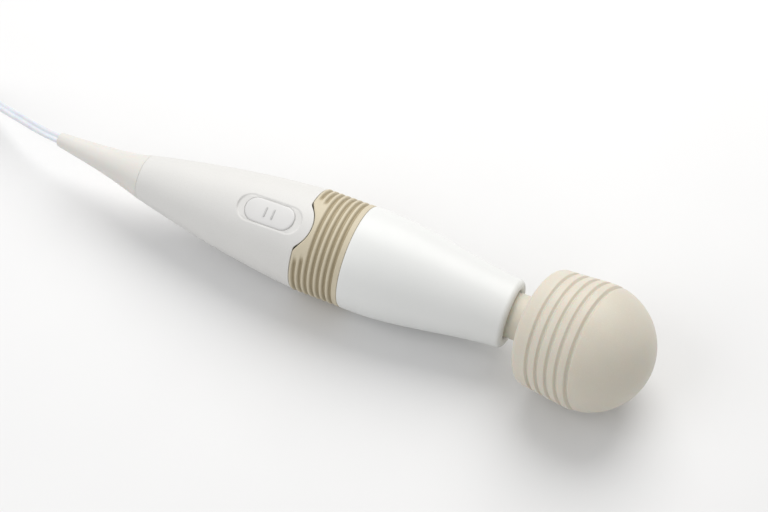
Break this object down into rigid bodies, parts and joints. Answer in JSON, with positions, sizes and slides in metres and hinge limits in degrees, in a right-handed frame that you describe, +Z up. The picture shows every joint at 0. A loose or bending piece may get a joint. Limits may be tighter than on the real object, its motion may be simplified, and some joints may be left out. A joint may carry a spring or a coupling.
{
  "type": "handheld wand massager",
  "caption": "Corded handheld wand massager: tapered handle with a ribbed grip ring and push button, short flexible neck, round ribbed silicone head, and a coiled flat mains lead.",
  "frame": {"origin": "on the table, below the middle of the wand's box, without its mains lead", "axes": "+X along the handle from the tail to the head, +Z up from the table"},
  "size_m": [0.5521, 0.0935, 0.0667],
  "materials": {
    "shell_white": "fine matte texture",
    "tail_boot": "smooth satin",
    "front_gloss": "high gloss",
    "grip_rubber": "matte ribbed",
    "silicone": "soft satin",
    "button_pad": "satin",
    "seal": "matte",
    "frame_plastic": "moulded",
    "motor_steel": "plated",
    "magnet": "sintered",
    "carbon": "dull",
    "bronze": "machined",
    "copper": "enamelled wire",
    "steel": "turned",
    "screw_steel": "zinc plated",
    "lead_wire": "insulated wire",
    "board_green": "coated laminate",
    "component_black": "moulded",
    "capacitor_sleeve": "shrink sleeve",
    "ceramic": "glazed",
    "hard_core": "moulded",
    "neck_rubber": "matte",
    "weight_iron": "ground",
    "cord_pvc": "translucent satin",
    "plug_pvc": "satin",
    "tie": "matte",
    "blade_brass": "nickel plated"
  },
  "bodies": {
    "handle": {"rear_shell": "shell_white", "tail_boot": "tail_boot", "grip_ring": "grip_rubber", "front_shell": "front_gloss", "neck_seal": "seal", "inner_frame": "frame_plastic", "frame_screws": "screw_steel", "motor_can": "motor_steel", "motor_magnets": "magnet", "motor_end_cap": "frame_plastic", "motor_brushes": "carbon", "shaft_bushes": "bronze", "motor_mounts": "seal", "motor_screws": "screw_steel", "motor_leads": "lead_wire", "circuit_board": "board_green", "board_screws": "screw_steel", "tact_switch": "component_black", "capacitor": "capacitor_sleeve", "rectifier": "component_black", "choke": "copper", "fuse": "ceramic", "cord_clamp": "frame_plastic", "clamp_screws": "screw_steel", "inner_cord": "cord_pvc", "cord_leads": "lead_wire", "button_seal": "seal", "power_cord": "cord_pvc", "cord_coil": "cord_pvc", "cord_tie": "tie", "plug_lead": "cord_pvc", "plug_boot": "plug_pvc", "plug_body": "plug_pvc", "plug_blades": "blade_brass"},
    "button": {"power_button": "button_pad", "switch_plunger": "component_black"},
    "neck": {"neck_sleeve": "silicone", "neck_core": "neck_rubber", "drive_spring": "steel"},
    "head": {"head_cover": "silicone", "head_core": "hard_core", "head_base": "hard_core", "head_screws": "screw_steel", "head_bearings": "steel"},
    "rotor": {"motor_shaft": "steel", "rotor_core": "motor_steel", "rotor_windings": "copper", "commutator": "copper", "drive_hub": "steel"},
    "eccentric": {"eccentric_shaft": "steel", "eccentric_weight": "weight_iron", "weight_hub": "steel"}
  },
  "joints": [
    {"name": "button_press", "type": "slide", "parent": "handle", "child": "button", "axis": [0.1082, 0.3563, -0.9281], "range_m": [0, 0.0008], "stiffness_N_per_m": 400, "deforming": ["button_seal"]},
    {"name": "neck_pitch", "type": "hinge", "parent": "handle", "child": "neck", "pos_m": [0.09598, 0.00553, 0.027], "axis": [0, -1, 0], "range_deg": [-12, 5], "stiffness_Nm_per_rad": 8, "deforming": ["neck_sleeve", "neck_core", "drive_spring"]},
    {"name": "neck_yaw", "type": "hinge", "parent": "neck", "child": "head", "pos_m": [0.09598, 0.00553, 0.027], "axis": [-0.1874, 0, 0.9823], "range_deg": [-7, 18], "stiffness_Nm_per_rad": 8, "deforming": ["neck_sleeve", "neck_core", "drive_spring"]},
    {"name": "motor_spin", "type": "hinge", "parent": "handle", "child": "rotor", "pos_m": [0.00997, 0.00553, 0.027], "axis": [1, 0, 0], "continuous": true},
    {"name": "weight_spin", "type": "hinge", "parent": "head", "child": "eccentric", "pos_m": [0.13436, -0.00023, 0.03432], "axis": [0.9717, -0.1461, 0.1854], "continuous": true}
  ],
  "couplings": [
    {"joint": "weight_spin", "follows": "motor_spin", "ratio": 1}
  ]
}
